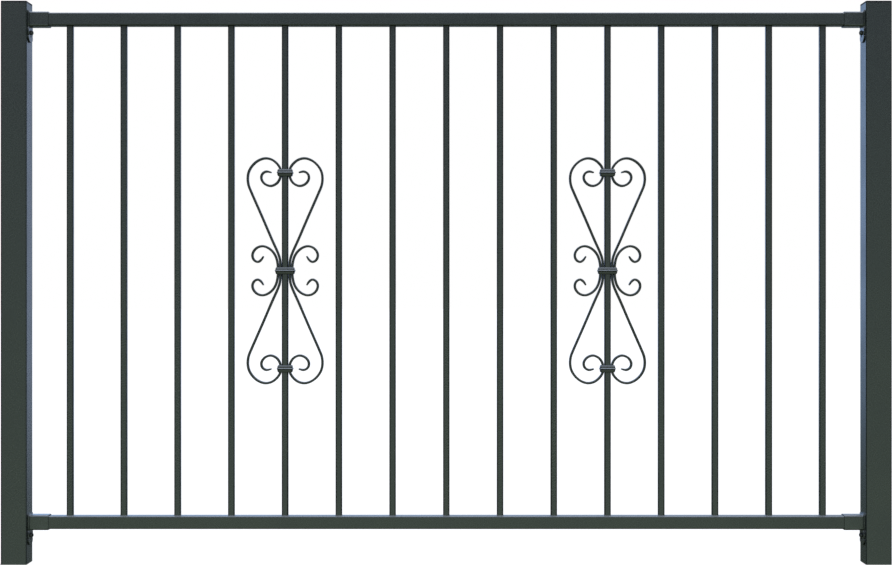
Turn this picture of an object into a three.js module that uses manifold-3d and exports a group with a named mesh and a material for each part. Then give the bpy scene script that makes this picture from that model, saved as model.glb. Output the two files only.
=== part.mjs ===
// Ornamental steel fence bay: two square posts, two rails, fifteen square pickets,
// two scroll ornaments held by ribbed collars, and screwed rail sockets.
// Millimetres, +Z up, +X along the fence, +Y to the back.
// Origin: ground level, midway between the posts, on the fence line.

import * as THREE from 'three';
import { mergeVertices } from 'three/addons/utils/BufferGeometryUtils.js';
import Module from 'manifold-3d';

const wasm = await Module();
wasm.setup();

// ---------------------------------------------------------------- dimensions
const GAP = 0.3;                 // clearance between neighbouring pieces

const BAY = 2000;                // post centre to post centre
const POST = 60;                 // post section
const POST_WALL = 2;
const POST_RADIUS = 3;
const POST_LENGTH = 1300;
const CAP_PLATE = 3.7;           // thickness of the cap's plate
const CAP_SKIRT = 14;            // depth of the cap's skirt in the tube
const CAP_SKIRT_WALL = 2;

const RAIL = 30;                 // rail section
const RAIL_WALL = 2;
const RAIL_RADIUS = 3;
const RAIL_END = 963;            // rail ends at plus and minus this X
const RAIL_LOW_Z = 95.5;           // centre height of the bottom rail
const RAIL_HIGH_Z = 1264;        // centre height of the top rail

const PICKET = 15;
const PICKET_WALL = 1.5;
const PICKET_RADIUS = 2.8;
const PICKET_COUNT = 15;
const PICKET_PITCH = 125;
const PICKET_ENTRY = 4;          // how far a picket's end stands inside the rail's cavity

const SLEEVE_WALL = 2;           // rail socket
const SLEEVE_RADIUS = 4;
const SLEEVE_MOUTH = 923;        // X of the socket's mouth
const FLANGE = 3;                // thickness of the flange against the post
const FLANGE_HALF = 21;          // half width of the flange
const FLANGE_TOP = 21;           // above the rail's centre line
const FLANGE_CORNER = 6;
const LOBE_RADIUS = 19.26;       // scalloped edge of the ear
const LOBE_WAIST = 18.2;
const EAR_END_HALF = 19.6;       // last lobe: half width, drop and centre
const EAR_END_DROP = 11.5;
const EAR_END_Z = -42;
const SLOT_WIDTH = 6.5;
const SLOT_TOP = -23;
const SLOT_BOTTOM = -42;

const POST_SCREW_Z = -30.5;      // from the rail's centre line
const POST_SCREW_SHANK = 2.4;    // radius
const POST_SCREW_HEAD = 5.1;     // radius
const POST_SCREW_HEAD_H = 5.6;
const POST_SCREW_LENGTH = 19;
const RAIL_SCREW_X = 944;
const RAIL_SCREW_SHANK = 2.1;
const RAIL_SCREW_HEAD = 4.3;
const RAIL_SCREW_HEAD_H = 3.2;
const RAIL_SCREW_LENGTH = 12;

const ORNAMENT_PICKETS = [5, 11];    // the pickets that carry an ornament
const ORNAMENT_Z = 680;
const BAR = 5.5;                   // scroll bar thickness in the plane of the fence
const BAR_DEPTH = 12;            // scroll bar depth
const BAR_TIP = 3.2;             // thickness at the scroll's end
const BAR_TAPER = 16;            // length of the tapered end
const COLLAR_OFFSET = 228;       // upper and lower collar from the ornament's centre
const COLLAR_SIDE = { half: 19.2, height: 16.4, bore: 14.2 };
const COLLAR_CENTRE = { half: 23.8, height: 15.6, bore: 19.8 };
const COLLAR_DEPTH_HALF = 12.2;
const COLLAR_BORE_DEPTH_HALF = 7.9;
const COLLAR_RADIUS = 3.6;
const COLLAR_SEAM = 0.8;         // closing seam at the back

const MAX_TURN = THREE.MathUtils.degToRad(12);
const MAX_STEP = 45;

// Scroll centre lines, upper half, in the plane of the fence:
// [distance out from the picket's centre, height above the ornament's centre]
const LONG_SCROLL = [
  [10.7, 0], [10.7, 8], [12.0, 26.3], [16, 39.4], [30.6, 72.2], [50.2, 117.8], [66.5, 155],
  [78.8, 183], [85.1, 199], [86.9, 215.5], [84.2, 231], [75.1, 245.8], [62, 256.6], [46.7, 261.6],
  [31.5, 258.8], [19.2, 249.6], [12.0, 239.2], [10.7, 234.5], [10.7, 228], [10.7, 221.5],
  [12.0, 214.6], [19.4, 203.4], [33.4, 197.2], [47.6, 202.2], [55.3, 213.9], [53, 225.4],
  [43.6, 231], [31.6, 228.4],
];
const SHORT_SCROLL = [
  [16.7, 0], [16.7, 8], [18.0, 20], [21.8, 33.2], [29.4, 45], [40.4, 53.6], [52.7, 57.2], [65, 53.8],
  [73.7, 44.6], [76.2, 34.4], [72.4, 24.8], [63.4, 20.2], [55.4, 25.6], [50.2, 33.8],
];

// ---------------------------------------------------------------- materials
const coat = () => new THREE.MeshStandardMaterial({ color: 0x3f4840, roughness: 0.55, metalness: 0.3 });
const capPlastic = () => new THREE.MeshStandardMaterial({ color: 0x17191a, roughness: 0.6, metalness: 0.0 });
const screwSteel = () => new THREE.MeshStandardMaterial({ color: 0x474d49, roughness: 0.45, metalness: 0.6 });

// ---------------------------------------------------------------- helpers
// A closed geometry with shared vertices and positions only.
function weld(geometry) {
  const g = geometry.clone();
  for (const name of Object.keys(g.attributes)) if (name !== 'position') g.deleteAttribute(name);
  return mergeVertices(g, 1e-4);
}

function toSolid(geometry) {
  const g = weld(geometry);
  return new wasm.Manifold(new wasm.Mesh({
    numProp: 3,
    vertProperties: new Float32Array(g.attributes.position.array),
    triVerts: new Uint32Array(g.index.array),
  }));
}

function toGeometry(solid) {
  const m = solid.getMesh();
  const g = new THREE.BufferGeometry();
  g.setAttribute('position', new THREE.BufferAttribute(new Float32Array(m.vertProperties), 3));
  g.setIndex(new THREE.BufferAttribute(new Uint32Array(m.triVerts), 1));
  return g;
}

function cut(geometry, cutters) {
  let solid = toSolid(geometry);
  for (const c of cutters) solid = solid.subtract(toSolid(c));
  return toGeometry(solid);
}

function joined(a, b) {
  return toGeometry(toSolid(a).add(toSolid(b)));
}

// The same geometry on the other side of the plane X = 0.
function mirrorX(geometry) {
  const g = weld(geometry);
  const p = g.attributes.position;
  for (let i = 0; i < p.count; i++) p.setX(i, -p.getX(i));
  const idx = g.index.array;
  for (let i = 0; i < idx.length; i += 3) { const t = idx[i]; idx[i] = idx[i + 1]; idx[i + 1] = t; }
  return g;
}

const zToX = new THREE.Matrix4().makeBasis(
  new THREE.Vector3(0, 1, 0), new THREE.Vector3(0, 0, 1), new THREE.Vector3(1, 0, 0));
const zToY = new THREE.Matrix4().makeBasis(
  new THREE.Vector3(-1, 0, 0), new THREE.Vector3(0, 0, 1), new THREE.Vector3(0, 1, 0));

// Points round a rectangle with rounded corners, counter-clockwise.
function roundedPoints(halfU, halfV, radius, steps) {
  const out = [];
  const corners = [[1, 1, 0], [-1, 1, 90], [-1, -1, 180], [1, -1, 270]];
  for (const [su, sv, start] of corners) {
    for (let i = 0; i <= steps; i++) {
      const a = THREE.MathUtils.degToRad(start + (90 * i) / steps);
      out.push(new THREE.Vector2(
        su * (halfU - radius) + radius * Math.cos(a),
        sv * (halfV - radius) + radius * Math.sin(a)));
    }
  }
  return out;
}

// Hollow section along +Z, open at both ends.
function tube(outer, wall, radius, length, steps) {
  const shape = new THREE.Shape(roundedPoints(outer / 2, outer / 2, radius, steps));
  const inner = Math.max(radius - wall, 0.5);
  shape.holes.push(new THREE.Path(roundedPoints(outer / 2 - wall, outer / 2 - wall, inner, Math.max(1, steps - 1)).reverse()));
  return new THREE.ExtrudeGeometry(shape, { depth: length, bevelEnabled: false, steps: 1 });
}

function drill(radius, length, sides) {
  return new THREE.CylinderGeometry(radius, radius, length, sides).rotateX(Math.PI / 2);
}

const parts = new THREE.Group();

function place(name, geometry, material, position = [0, 0, 0], parent = parts) {
  const mesh = new THREE.Mesh(geometry, material);
  mesh.name = name;
  mesh.position.set(...position);
  parent.add(mesh);
  return mesh;
}

// ---------------------------------------------------------------- posts
const postFace = BAY / 2 - POST / 2;         // X of the posts' inner faces
const posts = new THREE.Group();
parts.add(posts);

function postGeometry() {
  const body = tube(POST, POST_WALL, POST_RADIUS, POST_LENGTH, 3);
  const holes = [RAIL_LOW_Z, RAIL_HIGH_Z].map((z) =>
    drill(POST_SCREW_SHANK + GAP, POST_WALL * 4, 12)
      .applyMatrix4(zToX)
      .translate(-POST / 2, 0, z + POST_SCREW_Z));
  return cut(body, holes);
}

function capGeometry() {
  const plate = new THREE.ExtrudeGeometry(
    new THREE.Shape(roundedPoints(POST / 2 - 0.5, POST / 2 - 0.5, POST_RADIUS - 0.5, 3)),
    { depth: CAP_PLATE - 1, bevelEnabled: true, bevelSegments: 1, bevelSize: 0.5, bevelThickness: 0.5 })
    .translate(0, 0, 0.5);
  const skirtHalf = POST / 2 - POST_WALL - GAP - 0.1;
  const skirtShape = new THREE.Shape(roundedPoints(skirtHalf, skirtHalf, 1.2, 2));
  skirtShape.holes.push(new THREE.Path(
    roundedPoints(skirtHalf - CAP_SKIRT_WALL, skirtHalf - CAP_SKIRT_WALL, 0.6, 1).reverse()));
  const skirt = new THREE.ExtrudeGeometry(skirtShape, { depth: CAP_SKIRT + 1, bevelEnabled: false })
    .translate(0, 0, -CAP_SKIRT);
  return joined(plate, skirt);
}

const rightPost = postGeometry();
place('right_post', rightPost, coat(), [BAY / 2, 0, 0], posts);
place('left_post', mirrorX(rightPost), coat(), [-BAY / 2, 0, 0], posts);
place('right_post_cap', capGeometry(), capPlastic(), [BAY / 2, 0, POST_LENGTH + GAP], posts);
place('left_post_cap', capGeometry(), capPlastic(), [-BAY / 2, 0, POST_LENGTH + GAP], posts);

// ---------------------------------------------------------------- panel
const panel = new THREE.Group();
parts.add(panel);

const picketX = (n) => (n - (PICKET_COUNT + 1) / 2) * PICKET_PITCH;

// facing is +1 where the punched wall looks up, -1 where it looks down
function railGeometry(facing) {
  const body = tube(RAIL, RAIL_WALL, RAIL_RADIUS, 2 * RAIL_END, 3)
    .applyMatrix4(zToX)
    .translate(-RAIL_END, 0, 0);
  const cutters = [];
  const hole = PICKET + 2 * GAP;
  for (let n = 1; n <= PICKET_COUNT; n++) {
    cutters.push(new THREE.BoxGeometry(hole, hole, RAIL_WALL * 3)
      .translate(picketX(n), 0, facing * (RAIL / 2 - RAIL_WALL / 2)));
  }
  for (const side of [-1, 1]) {
    cutters.push(drill(RAIL_SCREW_SHANK + GAP, RAIL_WALL * 4, 10)
      .applyMatrix4(zToY)
      .translate(side * RAIL_SCREW_X, RAIL / 2, 0));
  }
  return cut(body, cutters);
}

place('bottom_rail', railGeometry(1), coat(), [0, 0, RAIL_LOW_Z], panel);
place('top_rail', railGeometry(-1), coat(), [0, 0, RAIL_HIGH_Z], panel);

const picketLow = RAIL_LOW_Z + RAIL / 2 - RAIL_WALL - PICKET_ENTRY;
const picketHigh = RAIL_HIGH_Z - RAIL / 2 + RAIL_WALL + PICKET_ENTRY;
const picket = tube(PICKET, PICKET_WALL, PICKET_RADIUS, picketHigh - picketLow, 2);
for (let n = 1; n <= PICKET_COUNT; n++) {
  place(`picket_${String(n).padStart(2, '0')}`, picket.clone(), coat(), [picketX(n), 0, picketLow], panel);
}

// ---------------------------------------------------------------- rail brackets
// Flange outline, u across the fence (Y) and v up, from the rail's centre line.
function flangeOutline() {
  const right = [];
  for (let i = 0; i <= 4; i++) {
    const a = THREE.MathUtils.degToRad(90 - (90 * i) / 4);
    right.push([FLANGE_HALF - FLANGE_CORNER + FLANGE_CORNER * Math.cos(a),
      FLANGE_TOP - FLANGE_CORNER + FLANGE_CORNER * Math.sin(a)]);
  }
  const lobeX = FLANGE_HALF - LOBE_RADIUS;
  const lobe = (centre, from, to, steps) => {
    const a0 = Math.asin((from - centre) / LOBE_RADIUS);
    const a1 = Math.asin((to - centre) / LOBE_RADIUS);
    for (let i = 0; i <= steps; i++) {
      const a = a0 + ((a1 - a0) * i) / steps;
      right.push([lobeX + LOBE_RADIUS * Math.cos(a), centre + LOBE_RADIUS * Math.sin(a)]);
    }
  };
  lobe(-8, -8, -18, 3);
  right.pop();
  lobe(-28, -18, -38, 6);
  right.pop();
  const start = Math.asin((-38 - EAR_END_Z) / EAR_END_DROP);
  for (let i = 0; i <= 8; i++) {
    const a = start + ((-Math.PI / 2 - start) * i) / 8;
    right.push([EAR_END_HALF * Math.cos(a), EAR_END_Z + EAR_END_DROP * Math.sin(a)]);
  }
  right.pop();
  const pts = right.map(([u, v]) => new THREE.Vector2(u, v));
  pts.push(new THREE.Vector2(0, EAR_END_Z - EAR_END_DROP));
  for (let i = right.length - 1; i >= 0; i--) pts.push(new THREE.Vector2(-right[i][0], right[i][1]));
  return pts.reverse();
}

function slotPoints() {
  const r = SLOT_WIDTH / 2;
  const out = [];
  for (let i = 0; i <= 6; i++) {
    const a = (Math.PI * i) / 6;
    out.push(new THREE.Vector2(r * Math.cos(a), SLOT_TOP - r + r * Math.sin(a)));
  }
  for (let i = 0; i <= 6; i++) {
    const a = Math.PI + (Math.PI * i) / 6;
    out.push(new THREE.Vector2(r * Math.cos(a), SLOT_BOTTOM + r + r * Math.sin(a)));
  }
  return out;
}

// Bracket on the right-hand post, X measured in the part's own frame, Z from the rail's centre.
function bracketGeometry() {
  const shape = new THREE.Shape(flangeOutline());
  shape.holes.push(new THREE.Path(slotPoints().reverse()));
  const outer = postFace - GAP;
  const flange = new THREE.ExtrudeGeometry(shape, { depth: FLANGE, bevelEnabled: false })
    .applyMatrix4(zToX)
    .translate(outer - FLANGE, 0, 0);
  const sleeveSize = RAIL + 2 * GAP + 2 * SLEEVE_WALL;
  const sleeve = tube(sleeveSize, SLEEVE_WALL, SLEEVE_RADIUS, outer - FLANGE / 2 - SLEEVE_MOUTH, 3)
    .applyMatrix4(zToX)
    .translate(SLEEVE_MOUTH, 0, 0);
  const screwHole = drill(RAIL_SCREW_SHANK + GAP, SLEEVE_WALL * 4, 10)
    .applyMatrix4(zToY)
    .translate(RAIL_SCREW_X, sleeveSize / 2, 0);
  return cut(joined(flange, sleeve), [screwHole]);
}

// Domed screw along +Z: the head's seat is at Z = 0 and the shank runs up.
function screwGeometry(shank, head, headHeight, length, sides, socket) {
  const profile = [[0, -headHeight]];
  const arc = 4;
  for (let i = 1; i <= arc; i++) {
    const a = (Math.PI / 2) * (i / arc);
    profile.push([head * Math.sin(a), -headHeight * 0.3 - headHeight * 0.7 * Math.cos(a)]);
  }
  profile.push([head, 0], [shank, 0], [shank, length - shank * 1.6], [0, length]);
  // LatheGeometry turns about Y, so the profile's second number runs along Y
  const body = new THREE.LatheGeometry(profile.map(([r, y]) => new THREE.Vector2(r, y)), sides)
    .rotateX(Math.PI / 2);
  const key = new THREE.CylinderGeometry(socket, socket, headHeight, 6)
    .rotateX(Math.PI / 2)
    .translate(0, 0, -headHeight * 1.05);
  return cut(body, [key]);
}

const brackets = new THREE.Group();
parts.add(brackets);

const bracketRight = bracketGeometry();
const bracketLeft = mirrorX(bracketRight);
const postScrewRight = screwGeometry(POST_SCREW_SHANK, POST_SCREW_HEAD, POST_SCREW_HEAD_H, POST_SCREW_LENGTH, 14, 1.9)
  .applyMatrix4(zToX)
  .translate(postFace - GAP - FLANGE - GAP, 0, POST_SCREW_Z);
const postScrewLeft = mirrorX(postScrewRight);
const sleeveBack = RAIL / 2 + GAP + SLEEVE_WALL;
const railScrewRight = screwGeometry(RAIL_SCREW_SHANK, RAIL_SCREW_HEAD, RAIL_SCREW_HEAD_H, RAIL_SCREW_LENGTH, 12, 1.5)
  .rotateX(Math.PI / 2)
  .translate(RAIL_SCREW_X, sleeveBack + GAP, 0);
const railScrewLeft = mirrorX(railScrewRight);

for (const [level, z] of [['bottom', RAIL_LOW_Z], ['top', RAIL_HIGH_Z]]) {
  place(`rail_bracket_${level}_right`, bracketRight.clone(), coat(), [0, 0, z], brackets);
  place(`rail_bracket_${level}_left`, bracketLeft.clone(), coat(), [0, 0, z], brackets);
  place(`post_screw_${level}_right`, postScrewRight.clone(), screwSteel(), [0, 0, z], brackets);
  place(`post_screw_${level}_left`, postScrewLeft.clone(), screwSteel(), [0, 0, z], brackets);
  place(`rail_screw_${level}_right`, railScrewRight.clone(), screwSteel(), [0, 0, z], brackets);
  place(`rail_screw_${level}_left`, railScrewLeft.clone(), screwSteel(), [0, 0, z], brackets);
}

// ---------------------------------------------------------------- scrolls
// Full centre line, lower end to upper end, from the upper half.
function fullLine(half) {
  const lower = half.slice(1).map(([x, z]) => [x, -z]).reverse();
  return [...lower, ...half];
}

// Samples along the centre line, close together where it turns and far apart where it is straight.
function sampleLine(half) {
  const curve = new THREE.CatmullRomCurve3(
    fullLine(half).map(([x, z]) => new THREE.Vector3(x, z, 0)), false, 'centripetal');
  curve.arcLengthDivisions = 2000;
  const fine = curve.getSpacedPoints(1600);
  const length = curve.getLength();
  const step = length / 1600;
  const picked = [0];
  let turn = 0;
  let run = 0;
  for (let i = 1; i < fine.length - 1; i++) {
    const a = new THREE.Vector3().subVectors(fine[i], fine[i - 1]);
    const b = new THREE.Vector3().subVectors(fine[i + 1], fine[i]);
    turn += a.angleTo(b);
    run += step;
    const s = i * step;
    const nearTip = Math.abs(s - BAR_TAPER) < step / 2 || Math.abs(length - s - BAR_TAPER) < step / 2;
    if (turn >= MAX_TURN || run >= MAX_STEP || nearTip) { picked.push(i); turn = 0; run = 0; }
  }
  picked.push(fine.length - 1);
  return picked.map((i) => {
    const before = fine[Math.max(i - 1, 0)];
    const after = fine[Math.min(i + 1, fine.length - 1)];
    const t = new THREE.Vector3().subVectors(after, before).normalize();
    const s = i * step;
    const end = Math.min(s, length - s);
    const thick = end < BAR_TAPER ? BAR_TIP + (BAR - BAR_TIP) * Math.sin((Math.PI / 2) * (end / BAR_TAPER)) : BAR;
    return { x: fine[i].x, z: fine[i].y, nx: -t.y, nz: t.x, half: thick / 2 };
  });
}

function scrollGeometry(half) {
  const line = sampleLine(half);
  const left = line.map((p) => new THREE.Vector2(p.x + p.nx * p.half, p.z + p.nz * p.half));
  const right = line.map((p) => new THREE.Vector2(p.x - p.nx * p.half, p.z - p.nz * p.half));
  const shape = new THREE.Shape([...right, ...left.reverse()]);
  // drawn in X and Z, as deep as the bar along Y
  return new THREE.ExtrudeGeometry(shape, { depth: BAR_DEPTH, bevelEnabled: false })
    .rotateX(Math.PI / 2)
    .translate(0, BAR_DEPTH / 2, 0);
}

// ---------------------------------------------------------------- collars
// Section of the collar: [height as a fraction of half the height, inset from the rib]
const COLLAR_SECTION = [
  [-1, 2.6], [-0.82, 1.2], [-0.62, 0.8], [-0.45, 1.2], [-0.36, 2.1], [-0.22, 0.7], [0, 0],
  [0.22, 0.7], [0.36, 2.1], [0.45, 1.2], [0.62, 0.8], [0.82, 1.2], [1, 2.6],
];

function collarGeometry({ half, height, bore }) {
  const rings = COLLAR_SECTION.map(([f, inset]) => ({
    z: (f * height) / 2,
    pts: roundedPoints(half - inset, COLLAR_DEPTH_HALF - inset, COLLAR_RADIUS, 2),
  }));
  const n = rings[0].pts.length;
  const pos = [];
  const idx = [];
  rings.forEach((r) => r.pts.forEach((p) => pos.push(p.x, p.y, r.z)));
  for (let r = 0; r < rings.length - 1; r++) {
    for (let i = 0; i < n; i++) {
      const a = r * n + i;
      const b = r * n + ((i + 1) % n);
      idx.push(a, b, b + n, a, b + n, a + n);
    }
  }
  const low = pos.length / 3;
  pos.push(0, 0, rings[0].z, 0, 0, rings[rings.length - 1].z);
  const top = (rings.length - 1) * n;
  for (let i = 0; i < n; i++) {
    const j = (i + 1) % n;
    idx.push(low, j, i, low + 1, top + i, top + j);
  }
  const g = new THREE.BufferGeometry();
  g.setAttribute('position', new THREE.Float32BufferAttribute(pos, 3));
  g.setIndex(idx);
  const hole = new THREE.ExtrudeGeometry(
    new THREE.Shape(roundedPoints(bore, COLLAR_BORE_DEPTH_HALF, 1, 1)),
    { depth: height * 2, bevelEnabled: false }).translate(0, 0, -height);
  const seam = new THREE.BoxGeometry(COLLAR_SEAM, COLLAR_DEPTH_HALF, height * 2)
    .translate(0, COLLAR_DEPTH_HALF, 0);
  return cut(g, [hole, seam]);
}

// ---------------------------------------------------------------- ornaments
const longRight = scrollGeometry(LONG_SCROLL);
const longLeft = mirrorX(longRight);
const shortRight = scrollGeometry(SHORT_SCROLL);
const shortLeft = mirrorX(shortRight);

ORNAMENT_PICKETS.forEach((n, i) => {
  const side = i === 0 ? 'left' : 'right';
  const group = new THREE.Group();
  group.position.set(picketX(n), 0, ORNAMENT_Z);
  parts.add(group);
  place(`${side}_long_scroll_left`, longLeft.clone(), coat(), [0, 0, 0], group);
  place(`${side}_long_scroll_right`, longRight.clone(), coat(), [0, 0, 0], group);
  place(`${side}_short_scroll_left`, shortLeft.clone(), coat(), [0, 0, 0], group);
  place(`${side}_short_scroll_right`, shortRight.clone(), coat(), [0, 0, 0], group);
  place(`${side}_collar_upper`, collarGeometry(COLLAR_SIDE), coat(), [0, 0, COLLAR_OFFSET], group);
  place(`${side}_collar_centre`, collarGeometry(COLLAR_CENTRE), coat(), [0, 0, 0], group);
  place(`${side}_collar_lower`, collarGeometry(COLLAR_SIDE), coat(), [0, 0, -COLLAR_OFFSET], group);
});

export default parts;
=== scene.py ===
import math

import bmesh
import bpy
import numpy as np
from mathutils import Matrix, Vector


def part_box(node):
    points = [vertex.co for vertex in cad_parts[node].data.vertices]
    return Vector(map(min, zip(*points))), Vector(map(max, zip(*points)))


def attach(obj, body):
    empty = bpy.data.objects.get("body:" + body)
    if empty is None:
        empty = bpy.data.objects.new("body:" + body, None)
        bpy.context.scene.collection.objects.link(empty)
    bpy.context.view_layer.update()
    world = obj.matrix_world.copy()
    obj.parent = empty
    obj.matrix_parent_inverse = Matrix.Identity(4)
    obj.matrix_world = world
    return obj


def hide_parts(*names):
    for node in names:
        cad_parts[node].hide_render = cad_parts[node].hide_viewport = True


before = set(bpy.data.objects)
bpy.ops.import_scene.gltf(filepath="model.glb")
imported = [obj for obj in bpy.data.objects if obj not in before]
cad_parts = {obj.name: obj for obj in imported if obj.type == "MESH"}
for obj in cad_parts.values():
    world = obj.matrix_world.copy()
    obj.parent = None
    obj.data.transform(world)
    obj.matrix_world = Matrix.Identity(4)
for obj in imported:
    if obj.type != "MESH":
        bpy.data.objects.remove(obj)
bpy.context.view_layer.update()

MM = 0.001
scene = bpy.context.scene

# ---------------------------------------------------------------- camera
cam_data = bpy.data.cameras.new("camera")
camera = bpy.data.objects.new("camera", cam_data)
scene.collection.objects.link(camera)
camera.location = (0.0, -4.112, 0.652)
camera.rotation_euler = (math.radians(90), 0, 0)
cam_data.sensor_width = 36.0
cam_data.lens = 71.3
cam_data.shift_x = -0.00034
cam_data.shift_y = 0.00028
cam_data.clip_start = 0.05
cam_data.clip_end = 100.0
cam_data.dof.use_dof = False
scene.camera = camera

scene.view_settings.view_transform = "Standard"
scene.view_settings.look = "None"
scene.view_settings.exposure = 0.0
scene.view_settings.gamma = 1.0


# ---------------------------------------------------------------- node helpers
def node(tree, kind, **values):
    n = tree.nodes.new(kind)
    for key, value in values.items():
        setattr(n, key, value)
    return n


def noise(tree, coord, scale, detail=2.0, roughness=0.5, offset=(0, 0, 0)):
    shift = node(tree, "ShaderNodeVectorMath", operation="ADD")
    tree.links.new(coord, shift.inputs[0])
    shift.inputs[1].default_value = offset
    n = node(tree, "ShaderNodeTexNoise")
    n.inputs["Scale"].default_value = scale
    n.inputs["Detail"].default_value = detail
    n.inputs["Roughness"].default_value = roughness
    tree.links.new(shift.outputs[0], n.inputs["Vector"])
    return n.outputs["Fac"]


def ramp(tree, value, low, high, out_low, out_high):
    n = node(tree, "ShaderNodeMapRange")
    n.clamp = True
    tree.links.new(value, n.inputs["Value"])
    n.inputs["From Min"].default_value = low
    n.inputs["From Max"].default_value = high
    n.inputs["To Min"].default_value = out_low
    n.inputs["To Max"].default_value = out_high
    return n.outputs["Result"]


def math_node(tree, operation, a, b=None):
    n = node(tree, "ShaderNodeMath", operation=operation)
    for i, v in enumerate((a, b)):
        if v is None:
            continue
        if isinstance(v, (int, float)):
            n.inputs[i].default_value = v
        else:
            tree.links.new(v, n.inputs[i])
    return n.outputs[0]


def mix_colour(tree, factor, a, b, blend="MIX"):
    n = node(tree, "ShaderNodeMix", data_type="RGBA", blend_type=blend)
    for socket, v in ((n.inputs[0], factor), (n.inputs[6], a), (n.inputs[7], b)):
        if isinstance(v, (int, float)):
            socket.default_value = v
        elif isinstance(v, tuple):
            socket.default_value = (*v, 1.0)
        else:
            tree.links.new(v, socket)
    return n.outputs[2]


def new_material(name):
    m = bpy.data.materials.new(name)
    m.use_nodes = True
    return m, m.node_tree, m.node_tree.nodes["Principled BSDF"]


# ---------------------------------------------------------------- materials
def coat_material(name, base, light, dark, worn, bump=1.0, seed=0.0):
    """Fine-textured powder coat: close speckle, slow unevenness, softly rubbed edges, and painted shade where the edge
    mark is negative.
    """
    m, t, shader = new_material(name)
    coord = node(t, "ShaderNodeTexCoord").outputs["Object"]
    grain = noise(t, coord, 420.0, 2.0, 0.6, (seed, 0.0, 0.0))
    speck = noise(t, coord, 900.0, 1.0, 0.5, (0.0, seed, 1.7))
    cloud = noise(t, coord, 9.0, 3.0, 0.55, (1.3, seed, 0.4))
    patch = noise(t, coord, 38.0, 2.0, 0.5, (0.2, 0.9, seed))
    colour = mix_colour(t, ramp(t, grain, 0.34, 0.68, 0.0, 1.0), dark, light)
    colour = mix_colour(t, ramp(t, speck, 0.60, 0.72, 0.0, 0.6), colour, tuple(c * 1.6 for c in light))
    colour = mix_colour(t, ramp(t, speck, 0.26, 0.38, 0.6, 0.0), colour, tuple(c * 0.55 for c in dark))
    colour = mix_colour(t, ramp(t, cloud, 0.35, 0.7, 0.0, 0.28), colour, base)
    colour = mix_colour(t, ramp(t, patch, 0.45, 0.75, 0.0, 0.12), colour, tuple(c * 1.25 for c in base))
    mark = node(t, "ShaderNodeAttribute", attribute_name="edge").outputs["Fac"]
    edge = math_node(t, "MAXIMUM", mark, 0.0)
    rub = math_node(t, "MULTIPLY", edge, ramp(t, noise(t, coord, 130.0, 3.0, 0.65, (3.1, seed, 0.0)), 0.46, 0.66, 0.0, 0.55))
    colour = mix_colour(t, rub, colour, worn)
    # negative marks: painted shade, darkening the long corners of the tubes, the rails' lower corners, the scroll bars
    # and the collars' lower slopes and recesses
    corner = ramp(t, math_node(t, "MULTIPLY", mark, -1.0), 0.0, 0.5, 0.0, 0.85)
    colour = mix_colour(t, corner, colour, tuple(c * 0.25 for c in dark))
    t.links.new(colour, shader.inputs["Base Color"])
    shader.inputs["Metallic"].default_value = 0.0
    shader.inputs["IOR"].default_value = 1.8
    rough = ramp(t, grain, 0.3, 0.7, 0.22, 0.32)
    rough = math_node(t, "ADD", rough, ramp(t, cloud, 0.3, 0.7, -0.03, 0.05))
    rough = math_node(t, "SUBTRACT", rough, math_node(t, "MULTIPLY", edge, 0.05))
    t.links.new(rough, shader.inputs["Roughness"])
    height = math_node(t, "ADD", math_node(t, "MULTIPLY", grain, 0.6), math_node(t, "MULTIPLY", speck, 0.4))
    b = node(t, "ShaderNodeBump")
    b.inputs["Strength"].default_value = 0.35 * bump
    b.inputs["Distance"].default_value = 0.00022
    t.links.new(height, b.inputs["Height"])
    t.links.new(b.outputs["Normal"], shader.inputs["Normal"])
    return m


def cap_material():
    """Moulded black plastic with a fine spark texture."""
    m, t, shader = new_material("cap_black")
    coord = node(t, "ShaderNodeTexCoord").outputs["Object"]
    grain = noise(t, coord, 1400.0, 2.0, 0.6)
    cloud = noise(t, coord, 45.0, 3.0, 0.6, (0.4, 0.1, 2.0))
    colour = mix_colour(t, ramp(t, grain, 0.35, 0.65, 0.0, 1.0), (0.0060, 0.0068, 0.0072), (0.012, 0.0132, 0.0140))
    colour = mix_colour(t, ramp(t, cloud, 0.45, 0.75, 0.0, 0.35), colour, (0.019, 0.0198, 0.0205))
    edge = node(t, "ShaderNodeAttribute", attribute_name="edge").outputs["Fac"]
    colour = mix_colour(t, math_node(t, "MULTIPLY", edge, 0.18), colour, (0.05, 0.052, 0.053))
    t.links.new(colour, shader.inputs["Base Color"])
    shader.inputs["IOR"].default_value = 1.4
    t.links.new(ramp(t, cloud, 0.3, 0.7, 0.5, 0.66), shader.inputs["Roughness"])
    b = node(t, "ShaderNodeBump")
    b.inputs["Strength"].default_value = 0.3
    b.inputs["Distance"].default_value = 0.0001
    t.links.new(grain, b.inputs["Height"])
    t.links.new(b.outputs["Normal"], shader.inputs["Normal"])
    return m


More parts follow.
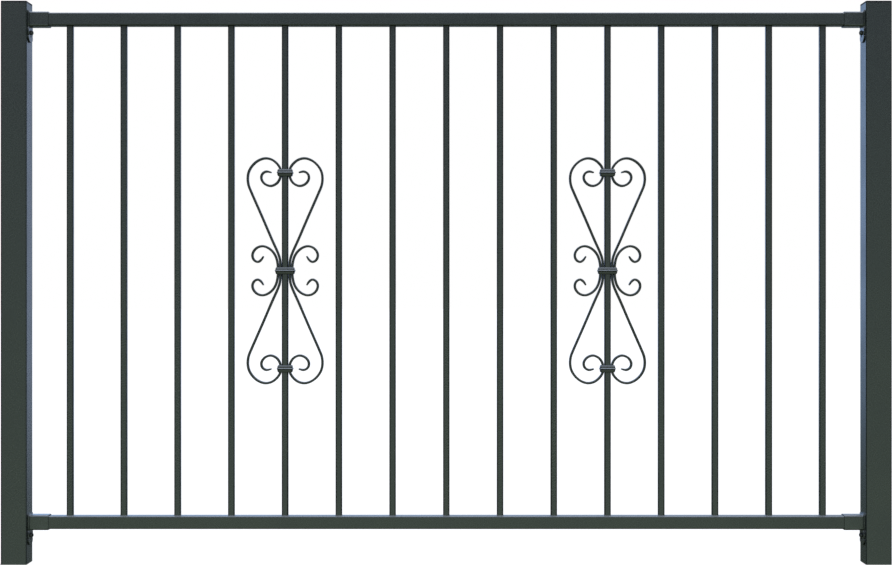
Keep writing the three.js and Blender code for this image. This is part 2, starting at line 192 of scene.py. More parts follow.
def screw_material():
    """Coated steel, rubbed bright round the drive and the head's rim."""
    m, t, shader = new_material("screw_coat")
    coord = node(t, "ShaderNodeTexCoord").outputs["Object"]
    grain = noise(t, coord, 1100.0, 3.0, 0.6)
    scuff = noise(t, coord, 420.0, 4.0, 0.7, (0.7, 0.2, 0.0))
    colour = mix_colour(t, ramp(t, grain, 0.35, 0.65, 0.0, 1.0), (0.050, 0.060, 0.054), (0.078, 0.088, 0.082))
    edge = node(t, "ShaderNodeAttribute", attribute_name="edge").outputs["Fac"]
    rub = math_node(t, "MULTIPLY", edge, ramp(t, scuff, 0.42, 0.6, 0.0, 0.8))
    colour = mix_colour(t, rub, colour, (0.30, 0.31, 0.31))
    t.links.new(colour, shader.inputs["Base Color"])
    t.links.new(math_node(t, "MULTIPLY", rub, 0.8), shader.inputs["Metallic"])
    t.links.new(ramp(t, scuff, 0.3, 0.7, 0.32, 0.46), shader.inputs["Roughness"])
    b = node(t, "ShaderNodeBump")
    b.inputs["Strength"].default_value = 0.25
    b.inputs["Distance"].default_value = 0.0001
    t.links.new(grain, b.inputs["Height"])
    t.links.new(b.outputs["Normal"], shader.inputs["Normal"])
    return m


COAT_BASE = (0.030, 0.038, 0.032)
coat = coat_material(
    "green_coat", COAT_BASE,
    light=(0.037, 0.046, 0.039), dark=(0.024, 0.030, 0.026), worn=(0.072, 0.082, 0.075))
cap_black = cap_material()
screw_coat = screw_material()


# ---------------------------------------------------------------- mesh helpers
def rounded(hu, hv, radius, steps, support=1.2):
    """Ring round a rectangle with rounded corners, counter-clockwise: (u, v, edge)."""
    pts = []
    radius = max(radius, 0.05)
    support = min(support, (hu - radius) * 0.4, (hv - radius) * 0.4)
    for su, sv, start in ((1, 1, 0), (-1, 1, 90), (-1, -1, 180), (1, -1, 270)):
        cu, cv = su * (hu - radius), sv * (hv - radius)
        a0 = math.radians(start)
        first = (cu + radius * math.cos(a0), cv + radius * math.sin(a0))
        back = (math.sin(a0) * support, -math.cos(a0) * support)
        if support > 0:
            pts.append((first[0] + back[0], first[1] + back[1], 0.0))
        for i in range(steps + 1):
            a = a0 + math.pi / 2 * i / steps
            w = math.sin(math.pi * i / steps) if steps > 1 else 1.0
            pts.append((cu + radius * math.cos(a), cv + radius * math.sin(a), 0.35 + 0.65 * w))
        a1 = a0 + math.pi / 2
        last = pts[-1]
        ahead = (-math.sin(a1) * support, math.cos(a1) * support)
        if support > 0:
            pts.append((last[0] + ahead[0], last[1] + ahead[1], 0.0))
    return pts


class Shell:
    """Collects vertices (mm), faces and an edge value for each vertex."""

    def __init__(self):
        self.v, self.f, self.e = [], [], []

    def add(self, points, edges):
        base = len(self.v)
        self.v.extend([tuple(p) for p in points])
        self.e.extend(edges)
        return list(range(base, base + len(points)))

    def loft(self, rings, close_v=False, cap_start=False, cap_end=False, close_u=True):
        """rings: a list of lists of (x, y, z, edge)."""
        idx = [self.add([p[:3] for p in r], [p[3] for p in r]) for r in rings]
        n = len(idx[0])
        count = len(idx)
        for k in range(count if close_v else count - 1):
            a, b = idx[k], idx[(k + 1) % count]
            for i in range(n if close_u else n - 1):
                j = (i + 1) % n
                self.f.append((a[i], a[j], b[j], b[i]))
        if cap_start:
            self.f.append(tuple(reversed(idx[0])))
        if cap_end:
            self.f.append(tuple(idx[-1]))
        return idx

    def merge(self, other, transform=None):
        base = len(self.v)
        self.v.extend([tuple(transform(p)) if transform else p for p in other.v])
        self.e.extend(other.e)
        self.f.extend([tuple(i + base for i in f) for f in other.f])

    def mesh(self, name):
        me = bpy.data.meshes.new(name)
        me.from_pydata([(x * MM, y * MM, z * MM) for x, y, z in self.v], [], self.f)
        attr = me.attributes.new("edge", "FLOAT", "POINT")
        attr.data.foreach_set("value", np.array(self.e, dtype=np.float32))
        me.validate()
        bm = bmesh.new()
        bm.from_mesh(me)
        bmesh.ops.recalc_face_normals(bm, faces=bm.faces)
        bm.to_mesh(me)
        bm.free()
        me.shade_smooth()
        me.update()
        return me


def add_object(name, mesh, material, replaces=(), weighted=True, sharp=40.0):
    o = bpy.data.objects.new(name, mesh)
    scene.collection.objects.link(o)
    mesh.materials.clear()
    mesh.materials.append(material)
    if weighted:
        mark_sharp(mesh, math.radians(sharp))
        w = o.modifiers.new("weighted", "WEIGHTED_NORMAL")
        w.mode = "FACE_AREA"
        w.weight = 50
        w.keep_sharp = True
    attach(o, "root")
    if replaces:
        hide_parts(*replaces)
    return o


def mark_sharp(mesh, angle):
    bm = bmesh.new()
    bm.from_mesh(mesh)
    for e in bm.edges:
        if len(e.link_faces) == 2:
            e.smooth = e.calc_face_angle(0.0) < angle
    bm.to_mesh(mesh)
    bm.free()


def node_centre(name):
    lo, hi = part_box(name)
    return [(lo[i] + hi[i]) / 2 / MM for i in range(3)], [lo[i] / MM for i in range(3)], [hi[i] / MM for i in range(3)]


# ---------------------------------------------------------------- hollow sections
def tube_section(outer, wall, lip=0.35):
    """Section of a cut tube's wall from the outside: (inset, height fraction sign, lip offset, edge)."""
    return [
        (0.0, 0, lip, 0.0), (0.0, 1, -lip, 0.0), (lip * 0.29, 1, -lip * 0.29, 1.0), (lip, 1, 0.0, 0.4),
        (wall - lip, 1, 0.0, 0.4), (wall, 1, -lip, 0.6), (wall, 0, lip, 0.6), (wall - lip, 0, 0.0, 0.4),
        (lip, 0, 0.0, 0.4), (lip * 0.29, 0, lip * 0.29, 1.0),
    ]


def upright_tube(cx, cy, z0, z1, outer, wall, radius, steps, painted_shade_sides, stations=()):
    s = Shell()
    sect = []
    for inset, top, lift, e in tube_section(outer, wall):
        z = (z1 if top else z0) + lift
        sect.append((inset, z, e))
        if inset == 0.0 and not top and stations:
            sect.extend((0.0, st, 0.0) for st in stations)
    rings = []
    for inset, z, e in sect:
        ring = rounded(outer / 2 - inset, outer / 2 - inset, max(radius - inset, 0.5), steps)
        # long corners on the painted_shade_sides get a negative edge mark: painted shade that darkens them
        rings.append([(cx + u, cy + v, z, e if e > 0.0 else (-w if inset == 0.0 and (1 if u > 0 else -1) in painted_shade_sides else 0.0))
                      for u, v, w in ring])
    s.loft(rings, close_v=True)
    return s


POST, POST_WALL, POST_RADIUS = 60.0, 2.0, 3.0
RAIL, RAIL_WALL, RAIL_RADIUS = 30.0, 2.0, 3.0
PICKET, PICKET_WALL, PICKET_RADIUS = 15.0, 1.5, 2.8

for side in ("left", "right"):
    c, lo, hi = node_centre(f"{side}_post")
    # painted shade on the post's outer long corners
    s = upright_tube(c[0], c[1], lo[2], hi[2], POST, POST_WALL, POST_RADIUS, 8, (-1,) if side == "left" else (1,))
    add_object(f"{side}_post_tube", s.mesh(f"{side}_post_tube"), coat, [f"{side}_post"])

picket_x = []
for n in range(1, 16):
    name = f"picket_{n:02d}"
    c, lo, hi = node_centre(name)
    picket_x.append(c[0])
    # painted shade on the picket's outer long corners, on both for the middle pickets
    s = upright_tube(c[0], c[1], lo[2], hi[2], PICKET, PICKET_WALL, PICKET_RADIUS, 6,
                     (-1, 1) if abs(n - 8) < 4 else ((-1,) if n < 8 else (1,)))
    add_object(f"{name}_bar", s.mesh(f"{name}_bar"), coat, [name])


def rail_shell(x0, x1, cz, facing):
    """Square tube along X with square punched holes in the wall that looks along facing."""
    half, hole = RAIL / 2, PICKET / 2 + 0.3
    s = Shell()
    xs = sorted({x0, x1, *(x - hole for x in picket_x), *(x + hole for x in picket_x)})
    outer = rounded(half, half, RAIL_RADIUS, 8)
    inner = rounded(half - RAIL_WALL, half - RAIL_WALL, 1.0, 8)

    def with_hole_lines(ring):
        # the top flat gets two more points, at the hole's edges
        out = []
        for i, p in enumerate(ring):
            out.append(p)
            q = ring[(i + 1) % len(ring)]
            if p[1] > 0 and abs(p[1] - q[1]) < 1e-6 and p[0] > hole and q[0] < -hole:
                out.append((hole, p[1], 0.0))
                out.append((-hole, p[1], 0.0))
        return out

    outer, inner = with_hole_lines(outer), with_hole_lines(inner)
    n = len(outer)
    slot_at = next(i for i in range(n) if abs(outer[i][0] - hole) < 1e-6 and abs(outer[(i + 1) % n][0] + hole) < 1e-6)
    grid = {}
    for k, ring in (("o", outer), ("i", inner)):
        for x in xs:
            # on the outer wall the lower long corners get a negative mark (painted shade) and the upper ones a positive
            # mark (rubbed edges)
            grid[k, x] = s.add([(x, u, cz + facing * v) for u, v, w in ring],
                               [0.0 if k == "i" else (-0.6 * w if facing * v < 0 else 0.5 * w) for u, v, w in ring])
    for a, b in zip(xs, xs[1:]):
        is_hole = any(abs((a + b) / 2 - x) < 1.0 for x in picket_x)
        for k in ("o", "i"):
            for i in range(n):
                if is_hole and i == slot_at:
                    continue
                j = (i + 1) % n
                s.f.append((grid[k, a][i], grid[k, a][j], grid[k, b][j], grid[k, b][i]))
        if is_hole:
            i, j = slot_at, slot_at + 1
            for p, q in (((a, i), (b, i)), ((b, i), (b, j)), ((b, j), (a, j)), ((a, j), (a, i))):
                s.f.append((grid["o", p[0]][p[1]], grid["o", q[0]][q[1]], grid["i", q[0]][q[1]], grid["i", p[0]][p[1]]))
    for x in (xs[0], xs[-1]):
        for i in range(n):
            j = (i + 1) % n
            s.f.append((grid["o", x][i], grid["o", x][j], grid["i", x][j], grid["i", x][i]))
    return s


rail_z = {}
for level, facing in (("bottom", 1), ("top", -1)):
    c, lo, hi = node_centre(f"{level}_rail")
    rail_z[level] = c[2]
    s = rail_shell(lo[0], hi[0], c[2], facing)
    add_object(f"{level}_rail_tube", s.mesh(f"{level}_rail_tube"), coat, [f"{level}_rail"])


# ---------------------------------------------------------------- weld beads
def bead_noise(a, k):
    return 0.5 * math.sin(3.1 * a + 1.7 * k) + 0.3 * math.sin(7.3 * a + 0.9 * k) + 0.2 * math.sin(13.7 * a + 2.3 * k)


def weld_ring(cx, cz, facing, index):
    """Small coated fillet where a picket enters the rail."""
    s = Shell()
    section = [(-0.5, 1.35), (0.04, 1.3), (0.16, 0.86), (0.42, 0.42), (0.86, 0.15), (1.3, 0.03), (1.3, -0.3), (-0.5, -0.3)]
    rings = []
    for out, up in section:
        ring = []
        for u, v, w in rounded(PICKET / 2 + out, PICKET / 2 + out, PICKET_RADIUS + max(out, -0.4), 5, support=2.0):
            a = math.atan2(v, u)
            k = 1.0 + 0.16 * bead_noise(a, index) if out > 0.1 or up > 1.0 else 1.0
            h = up * k if up > 0 else up
            ring.append((cx + u, v, cz + facing * (RAIL / 2 + h), 0.0))
        rings.append(ring)
    s.loft(rings, close_v=True)
    return s


for level, facing in (("bottom", 1), ("top", -1)):
    beads = Shell()
    for i, x in enumerate(picket_x):
        beads.merge(weld_ring(x, rail_z[level], facing, i + (20 if facing < 0 else 0)))
    add_object(f"{level}_rail_weld_beads", beads.mesh(f"{level}_rail_weld_beads"), coat)


# ---------------------------------------------------------------- post caps
def cap_shell(cx, cy, z0, thick, skirt_depth, skirt_half, skirt_wall):
    s = Shell()
    half = POST / 2
    top = z0 + thick
    sect = [
        (4.5 + (half - skirt_half), z0, 0.0), (half - skirt_half + skirt_wall, z0, 0.0),
        (half - skirt_half + skirt_wall, z0 - skirt_depth, 0.3), (half - skirt_half + 0.3, z0 - skirt_depth, 0.3),
        (half - skirt_half, z0 - skirt_depth + 0.4, 0.3), (half - skirt_half, z0, 0.0),
        (0.3, z0, 0.5), (0.0, z0 + 0.3, 0.6), (0.0, top - 0.8, 0.4), (0.06, top - 0.5, 0.8),
        (0.24, top - 0.24, 1.0), (0.5, top - 0.06, 0.8), (0.8, top, 0.5), (2.6, top, 0.0),
        (3.0, top - 0.12, 0.1), (3.5, top - 0.3, 0.0), (12.0, top - 0.3, 0.0), (24.0, top - 0.25, 0.0),
    ]
    rings = []
    for inset, z, e in sect:
        ring = rounded(half - inset, half - inset, max(POST_RADIUS - inset * 0.6, 0.8), 8)
        rings.append([(cx + u, cy + v, z, max(e, w if inset < 1.0 else 0.0)) for u, v, w in ring])
    s.loft(rings, cap_start=True, cap_end=True)
    return s


for side in ("left", "right"):
    c, lo, hi = node_centre(f"{side}_post_cap")
    plate = 3.7
    s = cap_shell(c[0], c[1], hi[2] - plate, plate, hi[2] - plate - lo[2], 27.6, 2.0)
    add_object(f"{side}_post_cap_moulding", s.mesh(f"{side}_post_cap_moulding"), cap_black, [f"{side}_post_cap"])


# ---------------------------------------------------------------- rail brackets
FLANGE_HALF, FLANGE_TOP, FLANGE_CORNER = 21.0, 21.0, 6.0
LOBE_RADIUS, EAR_HALF, EAR_DROP, EAR_Z = 19.26, 19.6, 11.5, -42.0
SLOT_WIDTH, SLOT_TOP, SLOT_BOTTOM = 6.5, -23.0, -42.0


def flange_outline():
    right = []
    for i in range(11):
        a = math.radians(90 - 90 * i / 10)
        right.append((FLANGE_HALF - FLANGE_CORNER + FLANGE_CORNER * math.cos(a),
                      FLANGE_TOP - FLANGE_CORNER + FLANGE_CORNER * math.sin(a)))
    lx = FLANGE_HALF - LOBE_RADIUS

    def lobe(centre, start, end, steps):
        a0 = math.asin((start - centre) / LOBE_RADIUS)
        a1 = math.asin((end - centre) / LOBE_RADIUS)
        for i in range(steps + 1):
            a = a0 + (a1 - a0) * i / steps
            right.append((lx + LOBE_RADIUS * math.cos(a), centre + LOBE_RADIUS * math.sin(a)))

    lobe(-8, -8, -17.6, 8)
    right.append((18.15, -18.0))
    lobe(-28, -18.4, -37.6, 16)
    right.append((18.15, -38.0))
    start = math.asin((-38.4 - EAR_Z) / EAR_DROP)
    for i in range(20):
        a = start + (-math.pi / 2 - start) * i / 20
        right.append((EAR_HALF * math.cos(a), EAR_Z + EAR_DROP * math.sin(a)))
    pts = list(right)
    pts.append((0.0, EAR_Z - EAR_DROP))
    pts.extend((-u, v) for u, v in reversed(right))
    return pts


def slot_outline():
    r = SLOT_WIDTH / 2
    pts = []
    for i in range(13):
        a = math.pi * i / 12
        pts.append((r * math.cos(a), SLOT_TOP - r + r * math.sin(a)))
    for i in range(13):
        a = math.pi + math.pi * i / 12
        pts.append((r * math.cos(a), SLOT_BOTTOM + r + r * math.sin(a)))
    return pts


def plate_mesh(name, outlines, thickness, bevel):
    """Flat plate from closed outlines, both faces and holes with rounded edges. Drawn in X and Y, thickness along Z."""
    cu = bpy.data.curves.new(name, "CURVE")
    cu.dimensions = "2D"
    cu.fill_mode = "BOTH"
    for pts in outlines:
        sp = cu.splines.new("POLY")
        sp.points.add(len(pts) - 1)
        for p, (u, v) in zip(sp.points, pts):
            p.co = (u, v, 0, 1)
        sp.use_cyclic_u = True
    cu.extrude = thickness / 2 - bevel
    cu.bevel_depth = bevel
    cu.bevel_resolution = 2
    cu.offset = -bevel
    o = bpy.data.objects.new(name, cu)
    scene.collection.objects.link(o)
    dg = bpy.context.evaluated_depsgraph_get()
    me = bpy.data.meshes.new_from_object(o.evaluated_get(dg))
    bpy.data.objects.remove(o)
    bpy.data.curves.remove(cu)
    bm = bmesh.new()
    bm.from_mesh(me)
    bmesh.ops.remove_doubles(bm, verts=bm.verts, dist=1e-4)
    bmesh.ops.recalc_face_normals(bm, faces=bm.faces)
    bm.to_mesh(me)
    bm.free()
    return me


def bracket_mesh(name, side, cz, face, mouth):
    """side is +1 on the right-hand post. face is the flange's post side, mouth the socket's open end, both in X."""
    thick = 3.0
    flange = plate_mesh(name + "_flange", [flange_outline(), slot_outline()], thick, 0.55)
    bm = bmesh.new()
    bm.from_mesh(flange)
    for v in bm.verts:
        u, w, d = v.co
        v.co = Vector(((face - side * (thick / 2)) + side * d, u, cz + w)) * MM
    layer = bm.verts.layers.float.new("edge")
    for v in bm.verts:
        x = abs(abs(v.co.x / MM) - (abs(face) - thick / 2))
        v[layer] = 1.0 if x < thick / 2 - 0.1 else 0.3
    bm.to_mesh(flange)
    bm.free()
    # socket with a rounded mouth and a fillet on the flange
    half, wall = RAIL / 2 + 0.3 + 2.0, 2.0
    root = face - side * (thick - 0.8)
    length = abs(root - mouth)
    sect = [  # (outward offset, distance from the mouth, edge)
        (-wall + 0.5, 0.0, 0.6), (-0.6, 0.0, 0.8), (-0.18, 0.18, 1.0), (0.0, 0.6, 0.6), (0.0, 1.6, 0.0),
        (0.0, length - 2.8, 0.0), (0.06, length - 2.4, 0.5), (0.25, length - 1.9, 1.0), (0.6, length - 1.45, 1.0),
        (1.1, length - 1.1, 0.6), (1.1, length, 0.0), (-wall, length, 0.0), (-wall, 0.6, 0.2), (-wall + 0.15, 0.2, 0.4),
    ]
    s = Shell()
    rings = []
    for out, d, e in sect:
        ring = rounded(half + out, half + out, max(4.0 + out, 1.6), 8)
        x = mouth + side * d
        rings.append([(x, u, cz + v, max(e, w if out > -1.0 else 0.0)) for u, v, w in ring])
    s.loft(rings, close_v=True)
    socket = s.mesh(name + "_socket")
    a = bpy.data.objects.new(name + "_a", flange)
    b = bpy.data.objects.new(name + "_b", socket)
    for o in (a, b):
        scene.collection.objects.link(o)
    mod = a.modifiers.new("join", "BOOLEAN")
    mod.operation = "UNION"
    mod.solver = "EXACT"
    mod.object = b
    dg = bpy.context.evaluated_depsgraph_get()
    dg.update()
    me = bpy.data.meshes.new_from_object(a.evaluated_get(dg))
    me.name = name
    for o in (a, b):
        bpy.data.objects.remove(o)
    me.shade_smooth()
    return me


for level in ("bottom", "top"):
    for side, sign in (("left", -1), ("right", 1)):
        cad = f"rail_bracket_{level}_{side}"
        c, lo, hi = node_centre(cad)
        face = hi[0] if sign > 0 else lo[0]
        mouth = lo[0] if sign > 0 else hi[0]
        me = bracket_mesh(f"{cad}_casting", sign, rail_z[level], face, mouth)
        add_object(f"{cad}_casting", me, coat, [cad], sharp=35.0)


# ---------------------------------------------------------------- screws
def screw_shell(head_r, head_h, shank_r, length, key_r, sides=48):
    """Domed screw: the seat of the head is at 0, the head goes to -head_h and the shank to length."""
    s = Shell()

    def circle(r, z, e):
        return [(r * math.cos(2 * math.pi * i / sides), r * math.sin(2 * math.pi * i / sides), z, e) for i in range(sides)]

    def hexagon(r, z, e):
        out = []
        for i in range(sides):
            a = 2 * math.pi * i / sides
            k = (a + math.pi / 6) % (math.pi / 3) - math.pi / 6
            q = r * math.cos(math.pi / 6) / math.cos(k)
            out.append((q * math.cos(a), q * math.sin(a), z, e))
        return out

    depth = head_h * 0.5
    crown = head_h
    rings = [hexagon(key_r * 0.55, -crown + depth + 0.4, 0.0), hexagon(key_r, -crown + depth, 0.0),
             hexagon(key_r, -crown + 0.35, 0.6), hexagon(key_r + 0.2, -crown + 0.12, 1.0)]
    start = key_r + 0.55
    rings.append(circle(start, -crown + 0.08, 0.9))
    rim = head_h * 0.22
    for i in range(1, 11):
        a = math.pi / 2 * i / 10
        r = start + (head_r - start) * math.sin(a)
        z = -rim - (head_h - rim - 0.08) * math.cos(a)
        rings.append(circle(r, z, 0.15 if i < 8 else 0.7))
    rings.append(circle(head_r, -0.25, 0.8))
    rings.append(circle(head_r - 0.25, 0.0, 0.3))
    rings.append(circle(shank_r, 0.0, 0.0))
    pitch, z = 1.6, 1.0
    while z < length - shank_r * 2:
        rings.append(circle(shank_r * 0.86, z, 0.0))
        rings.append(circle(shank_r, z + pitch * 0.5, 0.0))
        z += pitch
    rings.append(circle(shank_r * 0.84, length - shank_r * 1.6, 0.0))
    rings.append(circle(0.25, length, 0.0))
    s.loft(rings, cap_start=True, cap_end=True)
    return s


for level in ("bottom", "top"):
    for side, sign in (("left", -1), ("right", 1)):
        cad = f"post_screw_{level}_{side}"
        c, lo, hi = node_centre(cad)
        base = screw_shell(5.0, 5.6, 2.3, 18.8, 1.9)
        seat = (lo[0] if sign > 0 else hi[0]) + sign * 5.6
        s = Shell()
        s.merge(base, lambda p: (seat + sign * p[2], c[1] + p[0], c[2] + p[1]))
        add_object(f"{cad}_body", s.mesh(f"{cad}_body"), screw_coat, [cad])
        cad = f"rail_screw_{level}_{side}"
        c, lo, hi = node_centre(cad)
        base = screw_shell(4.2, 3.2, 2.0, 11.8, 1.5)
        s = Shell()
        s.merge(base, lambda p: (c[0] + p[0], hi[1] - 3.2 - p[2], c[2] + p[1]))
        add_object(f"{cad}_body", s.mesh(f"{cad}_body"), screw_coat, [cad])


# ---------------------------------------------------------------- scrolls
LONG_SCROLL = [
    (10.7, 0), (10.7, 8), (12.0, 26.3), (16, 39.4), (30.6, 72.2), (50.2, 117.8), (66.5, 155),
    (78.8, 183), (85.1, 199), (86.9, 215.5), (84.2, 231), (75.1, 245.8), (62, 256.6), (46.7, 261.6),
    (31.5, 258.8), (19.2, 249.6), (12.0, 239.2), (10.7, 234.5), (10.7, 228), (10.7, 221.5),
    (12.0, 214.6), (19.4, 203.4), (33.4, 197.2), (47.6, 202.2), (55.3, 213.9), (53, 225.4),
    (43.6, 231), (31.6, 228.4),
]
SHORT_SCROLL = [
    (16.7, 0), (16.7, 8), (18.0, 20), (21.8, 33.2), (29.4, 45), (40.4, 53.6), (52.7, 57.2), (65, 53.8),
    (73.7, 44.6), (76.2, 34.4), (72.4, 24.8), (63.4, 20.2), (55.4, 25.6), (50.2, 33.8),
]
BAR, BAR_DEPTH, BAR_TIP, BAR_TAPER = 5.5, 12.0, 3.2, 16.0


def catmull(points, per=60):
    """Centripetal Catmull-Rom through the points."""
    p = [np.array(q, float) for q in points]
    p = [2 * p[0] - p[1], *p, 2 * p[-1] - p[-2]]
    out = []
    for i in range(1, len(p) - 2):
        p0, p1, p2, p3 = p[i - 1], p[i], p[i + 1], p[i + 2]
        t0 = 0.0
        t1 = t0 + np.linalg.norm(p1 - p0) ** 0.5
        t2 = t1 + np.linalg.norm(p2 - p1) ** 0.5
        t3 = t2 + np.linalg.norm(p3 - p2) ** 0.5
        for k in range(per):
            t = t1 + (t2 - t1) * k / per
            a1 = (t1 - t) / (t1 - t0) * p0 + (t - t0) / (t1 - t0) * p1
            a2 = (t2 - t) / (t2 - t1) * p1 + (t - t1) / (t2 - t1) * p2
            a3 = (t3 - t) / (t3 - t2) * p2 + (t - t2) / (t3 - t2) * p3
            b1 = (t2 - t) / (t2 - t0) * a1 + (t - t0) / (t2 - t0) * a2
            b2 = (t3 - t) / (t3 - t1) * a2 + (t - t1) / (t3 - t1) * a3
            out.append((t2 - t) / (t2 - t1) * b1 + (t - t1) / (t2 - t1) * b2)
    out.append(p[-2])
    return np.array(out)


def resample(line, step):
    d = np.concatenate([[0], np.cumsum(np.linalg.norm(np.diff(line, axis=0), axis=1))])
    n = int(round(d[-1] / step))
    s = np.linspace(0, d[-1], n + 1)
    return np.stack([np.interp(s, d, line[:, k]) for k in range(line.shape[1])], axis=1)


def smooth_line(line, sigma, step):
    """Gaussian smoothing along the line that leaves its ends in place."""
    w = int(3 * sigma / step)
    k = np.exp(-0.5 * (np.arange(-w, w + 1) * step / sigma) ** 2)
    k /= k.sum()
    head = 2 * line[0] - line[w:0:-1]
    tail = 2 * line[-1] - line[-2:-w - 2:-1]
    ext = np.concatenate([head, line, tail])
    return np.stack([np.convolve(ext[:, i], k, mode="valid") for i in range(line.shape[1])], axis=1)


def scroll_shell(half_line, cx, cz, sign):
    full = [(x, -z) for x, z in reversed(half_line[1:])] + list(half_line)
    line = resample(catmull(full), 0.5)
    line = smooth_line(line, 2.2, 0.5)
    step = 2.4
    line = resample(line, step)
    tangent = np.gradient(line, axis=0)
    tangent /= np.linalg.norm(tangent, axis=1)[:, None]
    normal = np.stack([-tangent[:, 1], tangent[:, 0]], axis=1)
    total = step * (len(line) - 1)
    stations = []
    for i in range(len(line)):
        s = total * i / (len(line) - 1)
        end = min(s, total - s)
        k = min(end / BAR_TAPER, 1.0)
        thick = BAR_TIP + (BAR - BAR_TIP) * math.sin(math.pi / 2 * k)
        stations.append((line[i], normal[i], thick / 2, BAR_DEPTH / 2, 0.0))
    # rounded ends: three shrinking stations past each end's last one, kept inside the bar's length
    out = Shell()
    rings = []

    def ring(p, nrm, ht, hd, edge):
        r = min(1.5, ht * 0.6)
        pts = []
        # the bar's body gets a negative mark, stronger at its long corners: painted shade that darkens the whole bar;
        # the rounded ends keep their positive marks
        for u, v, w in rounded(ht, hd, r, 4, support=0.8):
            pts.append((cx + sign * (p[0] + nrm[0] * u), v, cz + p[1] + nrm[1] * u, edge if edge > 0.0 else -0.40 - 0.10 * w))
        return pts

    n = len(stations)
    for i, (p, nrm, ht, hd, e) in enumerate(stations):
        if i == 0 or i == n - 1:
            t = tangent[i] * (1 if i == 0 else -1)
            caps = [(0.0, 0.62), (0.12, 0.24), (0.45, 0.06)]
            seq = [(p + t * d, nrm, ht - c * 0.9, hd - c * 0.9, 1.0) for d, c in caps]
            if i == n - 1:
                seq = seq[::-1]
            if i == 0:
                rings.extend(ring(*q) for q in seq)
                rings.append(ring(p + t * 1.1, nrm, ht, hd, 0.5))
            else:
                rings.append(ring(p + t * 1.1, nrm, ht, hd, 0.5))
                rings.extend(ring(*q) for q in seq)
        else:
            rings.append(ring(p, nrm, ht, hd, e))
    out.loft(rings, cap_start=True, cap_end=True)
    return out


# ---------------------------------------------------------------- collars
def collar_profile(height, samples=5):
    """Outer outline of the collar's section, bottom to top: (height, inset, edge).
    A band with sloping rims and one wedge-like rib standing proud in the middle."""
    h = height / 2
    band, rim_in, rim_up = 1.6, 1.3, 3.7
    # negative edge values beside the rib and at the foot of the upper rim darken these recesses: painted shade
    half = [(0.0, 0.0, 0.9), (0.15, 0.03, 1.0), (0.35, 0.14, 1.0), (0.6, 0.34, 1.0), (1.2, 0.84, 1.0),
            (1.8, 1.34, 0.8), (2.0, 1.48, 0.3), (2.2, 1.57, -0.3), (2.4, band, -0.5)]   # from the middle up
    half += [(h - rim_up - 0.3, band, -0.5), (h - rim_up, band + 0.04, -0.3), (h - rim_up + 0.3, band + 0.14, 0.0)]
    for i in range(1, samples):
        a = i / (samples - 1)
        half.append((h - rim_up + 0.3 + (rim_up - 0.9) * a, band + 0.14 + (rim_in - 0.3) * a, 0.25 * a))
    half += [(h - 0.3, band + rim_in + 0.04, 0.4), (h - 0.08, band + rim_in + 0.28, 0.4), (h, band + rim_in + 0.6, 0.3)]
    # the underside mirrors the upper half and darkens the downward-facing slopes of the rib and the rim with negative
    # marks: painted shade
    under = [(-z, r, -0.5 if 0.5 < z < 2.3 or z > h - 1.6 else e) for z, r, e in reversed(half[1:])]
    pts = under + half
    clean = [pts[0]]
    for q in pts[1:]:
        if q[0] > clean[-1][0] + 0.04:
            clean.append(q)
    return clean


def collar_shell(cx, cz, half, depth_half, height, bore, bore_depth, seam=0.8, corner=3.6):
    profile = collar_profile(height)
    s = Shell()
    steps = 10

    def path(hu, hv, r):
        """Open path from the back seam round to the back seam, with even samples on the flats."""
        pts = []
        r = max(r, 0.3)
        corners = [(1, 1, 0), (-1, 1, 90), (-1, -1, 180), (1, -1, 270)]
        ring = []
        for su, sv, start in corners:
            for i in range(steps + 1):
                a = math.radians(start + 90 * i / steps)
                ring.append((su * (hu - r) + r * math.cos(a), sv * (hv - r) + r * math.sin(a)))
        # start on the back (+v) face at the seam, which lies between the first and the second corner
        k = steps + 1
        order = ring[k:] + ring[:k]
        pts.append((-seam / 2, hv))
        pts.extend(order)
        pts.append((seam / 2, hv))
        return pts

    columns = []
    n = len(path(half, depth_half, corner))
    for z, inset, e in profile:
        columns.append([(p[0], p[1], z, e) for p in path(half - inset, depth_half - inset, corner - inset * 0.4)])
    lip = 0.4
    h = height / 2
    for z, grow in ((h - 0.0, lip), (h - lip, 0.0), (-h + lip, 0.0), (-h, lip)):
        columns.append([(p[0], p[1], z, 0.3) for p in path(bore + grow, bore_depth + grow, 1.0 + grow)])
    rings = []
    for i in range(n):
        rings.append([(cx + c[i][0], c[i][1], cz + c[i][2], c[i][3]) for c in columns])
    s.loft(rings, cap_start=True, cap_end=True)
    return s


for side in ("left", "right"):
    centre, _, _ = node_centre(f"{side}_collar_centre")
    cx, cz = centre[0], centre[2]
    for hand, sign in (("left", -1), ("right", 1)):
        for kind, line in (("long", LONG_SCROLL), ("short", SHORT_SCROLL)):
            cad = f"{side}_{kind}_scroll_{hand}"
            s = scroll_shell(line, cx, cz, sign)
            add_object(f"{cad}_bar", s.mesh(f"{cad}_bar"), coat, [cad])
    for level in ("upper", "centre", "lower"):
        cad = f"{side}_collar_{level}"
        c, lo, hi = node_centre(cad)
        bore = 19.8 if level == "centre" else 14.2
        s = collar_shell(c[0], c[2], (hi[0] - lo[0]) / 2, (hi[1] - lo[1]) / 2, hi[2] - lo[2], bore, 7.9)
        add_object(f"{cad}_ring", s.mesh(f"{cad}_ring"), coat, [cad])


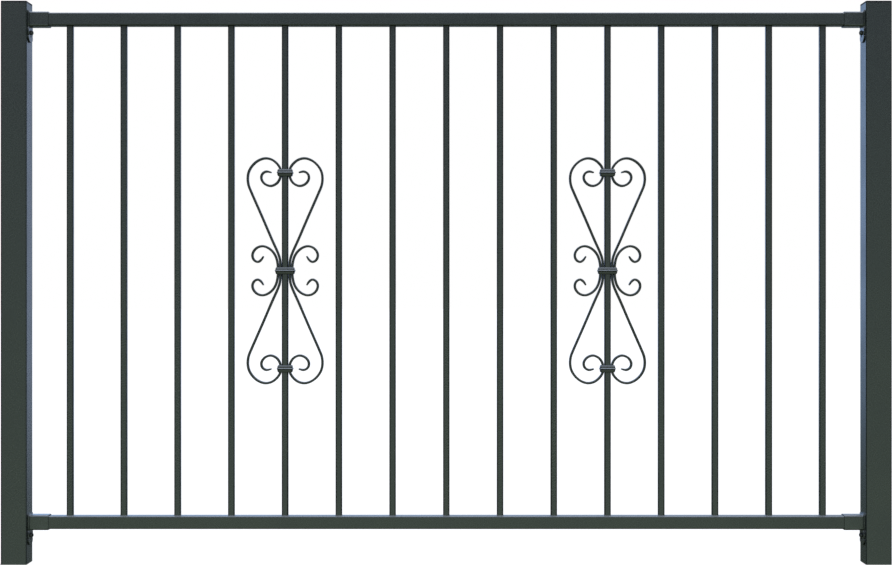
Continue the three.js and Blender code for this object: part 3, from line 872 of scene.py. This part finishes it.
# ---------------------------------------------------------------- floor, world and lights
floor_mesh = bpy.data.meshes.new("floor")
R = 40.0
ring = [(R * math.cos(2 * math.pi * i / 96), R * math.sin(2 * math.pi * i / 96), 0.0) for i in range(96)]
floor_mesh.from_pydata(ring, [], [tuple(range(96))])
floor = bpy.data.objects.new("floor", floor_mesh)
floor.location = (0, 0, -0.0005)
scene.collection.objects.link(floor)
floor_mat, ft, fs = new_material("floor_pale")
fs.inputs["Base Color"].default_value = (0.06, 0.06, 0.06, 1.0)
fs.inputs["Roughness"].default_value = 0.9
fs.inputs["Emission Color"].default_value = (1.0, 1.0, 1.0, 1.0)
fs.inputs["Emission Strength"].default_value = 0.93
floor_mesh.materials.append(floor_mat)
floor.visible_diffuse = False
floor.visible_glossy = False

world = bpy.data.worlds.new("studio")
world.use_nodes = True
scene.world = world
wt = world.node_tree
for n in list(wt.nodes):
    wt.nodes.remove(n)
direction = node(wt, "ShaderNodeTexCoord").outputs["Generated"]
axes = node(wt, "ShaderNodeSeparateXYZ")
wt.links.new(direction, axes.inputs[0])
up = axes.outputs["Z"]
back = axes.outputs["Y"]
across = axes.outputs["X"]
aside = math_node(wt, "ABSOLUTE", across)
# behind the fence: blue haze at the horizon over dark ground; in front: a dim room with a greener floor;
# to both sides and straight down: dark; overhead: a broad bluish-white light
behind = ramp(wt, back, 0.1, 0.6, 0.0, 1.0)
flank = ramp(wt, math_node(wt, "ADD", aside, ramp(wt, back, -0.2, 0.2, 0.08, 0.0)), 0.36, 0.60, 0.0, 1.0)
haze = mix_colour(wt, ramp(wt, across, -0.22, 0.22, 0.0, 1.0), (0.54, 0.78, 1.22), (0.48, 0.59, 0.80))
horizon = mix_colour(wt, behind, (0.18, 0.19, 0.28), haze)
horizon = mix_colour(wt, flank, horizon, (0.03, 0.035, 0.03))
sky = mix_colour(wt, ramp(wt, up, 0.42, 0.85, 0.0, 1.0), horizon, (2.3, 2.6, 3.2))
ground = mix_colour(wt, behind, (0.46, 0.58, 0.44), (0.08, 0.10, 0.075))
ground = mix_colour(wt, flank, ground, (0.03, 0.035, 0.025))
ground = mix_colour(wt, ramp(wt, up, -0.95, -0.55, 1.0, 0.0), ground, (0.03, 0.045, 0.02))
lift = ramp(wt, across, -0.22, 0.22, -0.05, -0.10)
rise = mix_colour(wt, behind, ramp(wt, up, -0.02, 0.14, 0.0, 1.0),
                  ramp(wt, math_node(wt, "SUBTRACT", up, lift), -0.05, 0.05, 0.0, 1.0))
light_side = mix_colour(wt, rise, ground, sky)
seen = node(wt, "ShaderNodeLightPath").outputs["Is Camera Ray"]
final = mix_colour(wt, seen, light_side, (1.0, 1.0, 1.0))
bg = node(wt, "ShaderNodeBackground")
wt.links.new(final, bg.inputs["Color"])
bg.inputs["Strength"].default_value = 1.0
wo = node(wt, "ShaderNodeOutputWorld")
wt.links.new(bg.outputs[0], wo.inputs["Surface"])


def area(name, location, target, size, power, colour=(1, 1, 1)):
    data = bpy.data.lights.new(name, "AREA")
    data.shape = "RECTANGLE"
    data.size, data.size_y = size
    data.energy = power
    data.color = colour
    o = bpy.data.objects.new(name, data)
    o.location = location
    o.rotation_euler = (Vector(target) - Vector(location)).to_track_quat("-Z", "Y").to_euler()
    scene.collection.objects.link(o)
    return o


area("key", (6.0, -8.0, 7.0), (0, 0, 0.65), (5.0, 4.0), 60)
area("fill", (-6.5, -9.0, 5.0), (0, 0, 0.65), (4.0, 4.0), 30)
